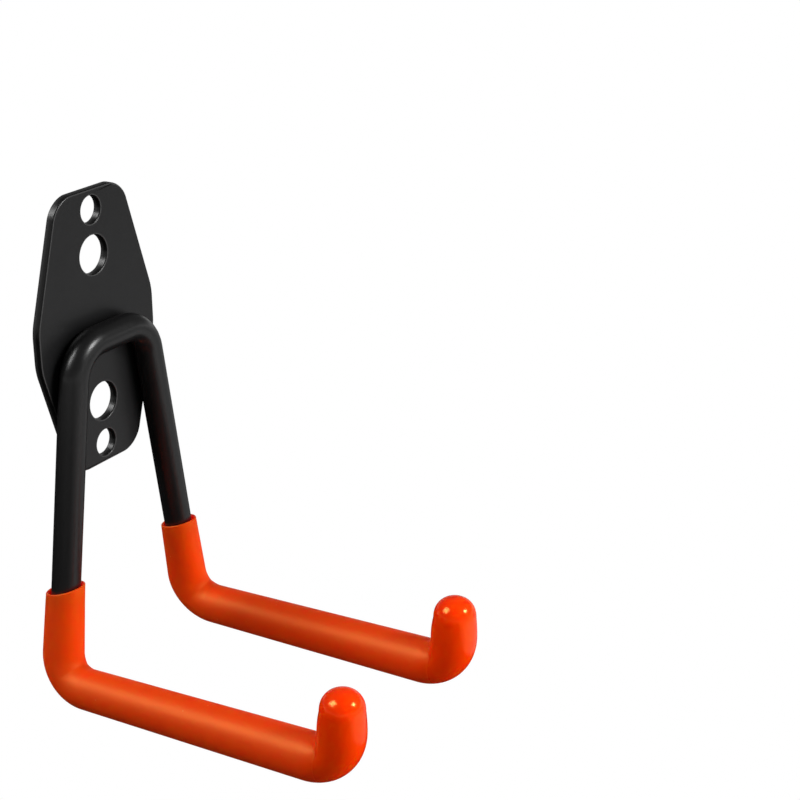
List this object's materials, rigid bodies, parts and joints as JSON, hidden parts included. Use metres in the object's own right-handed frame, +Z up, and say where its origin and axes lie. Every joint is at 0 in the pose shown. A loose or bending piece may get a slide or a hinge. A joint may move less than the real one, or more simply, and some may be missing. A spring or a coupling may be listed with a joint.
{
  "type": "garage utility hook",
  "caption": "Wall hook for tools and hoses: a bent steel rod welded to a pierced wall plate, its forward arms and upturned tips covered by soft closed-end sleeves.",
  "frame": {"origin": "middle of the wall plate's back face, which lies on the wall", "axes": "+X to the right seen from the front, +Y into the wall, +Z up; the arms reach out along -Y"},
  "size_m": [0.069, 0.1049, 0.1386],
  "materials": {
    "black_coat": "satin powder coat",
    "orange_vinyl": "gloss"
  },
  "bodies": {
    "root": {"wall_plate": "black_coat", "hook_rod": "black_coat", "left_sleeve": "orange_vinyl", "right_sleeve": "orange_vinyl"}
  },
  "joints": []
}
